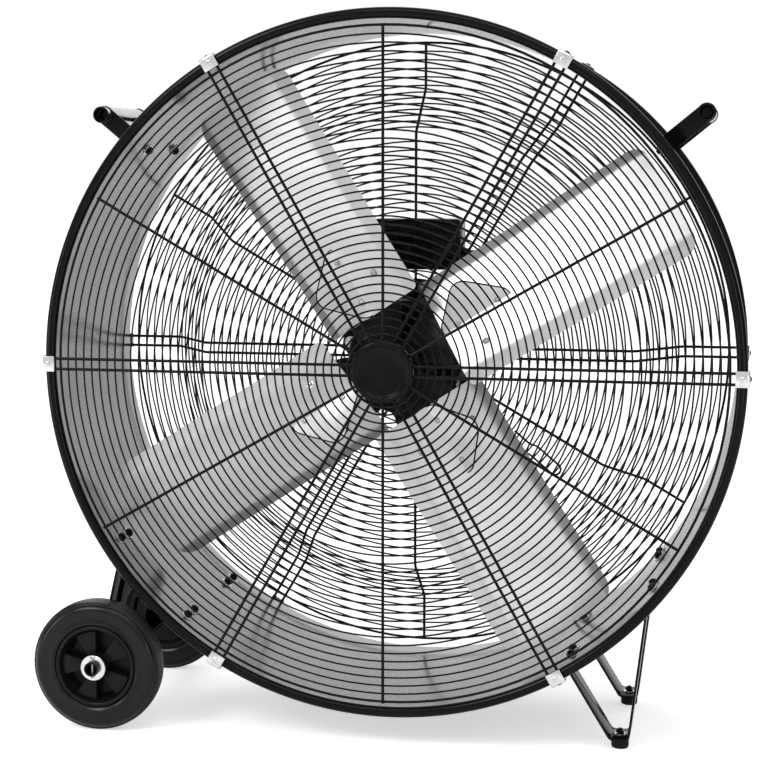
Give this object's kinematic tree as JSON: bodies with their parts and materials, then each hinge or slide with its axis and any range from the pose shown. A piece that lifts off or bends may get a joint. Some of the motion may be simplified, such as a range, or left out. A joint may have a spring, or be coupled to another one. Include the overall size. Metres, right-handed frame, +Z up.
{
  "type": "drum fan",
  "caption": "Wheeled drum fan with wire guards, pitched metal blades on a central motor, switch box, side handles, wheels and rubber feet.",
  "frame": {"origin": "on the floor, under the middle of the whole fan's bounding box", "axes": "+Z up; -Y towards the front guard, along which the air is blown; +X to the right seen from the front, from the wheels to the rubber feet"},
  "size_m": [1.1994, 0.4674, 1.216],
  "materials": {
    "black_enamel": "gloss",
    "black_wire": "satin",
    "motor_enamel": "satin",
    "galvanised_sheet": "satin",
    "zinc_hardware": "satin",
    "bare_steel": "satin",
    "winding_copper": "satin",
    "black_plastic": "matte",
    "foot_rubber": "matte",
    "tyre_rubber": "matte"
  },
  "bodies": {
    "base": {"drum_shell": "black_enamel", "front_guard": "black_wire", "rear_guard": "black_wire", "front_badge": "black_enamel", "front_clip_1": "zinc_hardware", "front_clip_2": "zinc_hardware", "front_clip_3": "zinc_hardware", "front_clip_4": "zinc_hardware", "front_clip_5": "zinc_hardware", "front_clip_6": "zinc_hardware", "rear_clip_1": "zinc_hardware", "rear_clip_2": "zinc_hardware", "rear_clip_3": "zinc_hardware", "rear_clip_4": "zinc_hardware", "rear_clip_5": "zinc_hardware", "rear_clip_6": "zinc_hardware", "motor_housing": "motor_enamel", "motor_front_bell": "motor_enamel", "motor_rear_bell": "motor_enamel", "stator_windings": "winding_copper", "bearing_front": "bare_steel", "bearing_rear": "bare_steel", "motor_plate": "black_enamel", "switch_box": "black_enamel", "switch_cover": "black_enamel", "rotary_switch": "black_plastic", "cable_gland": "black_plastic", "cord_hook": "black_wire", "handle_bracket_right_front": "black_enamel", "handle_bracket_right_rear": "black_enamel", "handle_bracket_left_front": "black_enamel", "handle_bracket_left_rear": "black_enamel", "handle_tube_right": "black_enamel", "handle_tube_left": "black_enamel", "handle_cap_right_front": "black_plastic", "handle_cap_right_rear": "black_plastic", "handle_cap_left_front": "black_plastic", "handle_cap_left_rear": "black_plastic", "wheel_strap_front": "black_enamel", "wheel_strap_rear": "black_enamel", "foot_strap_front": "black_enamel", "foot_strap_rear": "black_enamel", "rubber_foot_front": "foot_rubber", "rubber_foot_rear": "foot_rubber", "axle": "black_enamel", "wheel_washer_front": "zinc_hardware", "wheel_washer_rear": "zinc_hardware", "cotter_pin_front": "bare_steel", "cotter_pin_rear": "bare_steel"},
    "rotor": {"rotor_shaft": "bare_steel", "blade_spider": "motor_enamel", "blade_1": "galvanised_sheet", "blade_2": "galvanised_sheet", "blade_3": "galvanised_sheet", "blade_4": "galvanised_sheet"},
    "wheel_front": {"wheel_rim_front": "black_plastic", "tyre_front": "tyre_rubber"},
    "wheel_rear": {"wheel_rim_rear": "black_plastic", "tyre_rear": "tyre_rubber"},
    "knob": {"speed_knob": "black_plastic"}
  },
  "joints": [
    {"name": "rotor_spin", "type": "hinge", "parent": "base", "child": "rotor", "pos_m": [0.01335, 0, 0.632], "axis": [0, 1, 0], "continuous": true},
    {"name": "wheel_spin_front", "type": "hinge", "parent": "base", "child": "wheel_front", "pos_m": [-0.48665, -0.193, 0.113], "axis": [0, 1, 0], "continuous": true},
    {"name": "wheel_spin_rear", "type": "hinge", "parent": "base", "child": "wheel_rear", "pos_m": [-0.48665, 0.193, 0.113], "axis": [0, 1, 0], "continuous": true},
    {"name": "knob_turn", "type": "hinge", "parent": "base", "child": "knob", "pos_m": [0.05135, 0.165, 0.824], "axis": [0, 1, 0], "range_deg": [0, 120]}
  ]
}
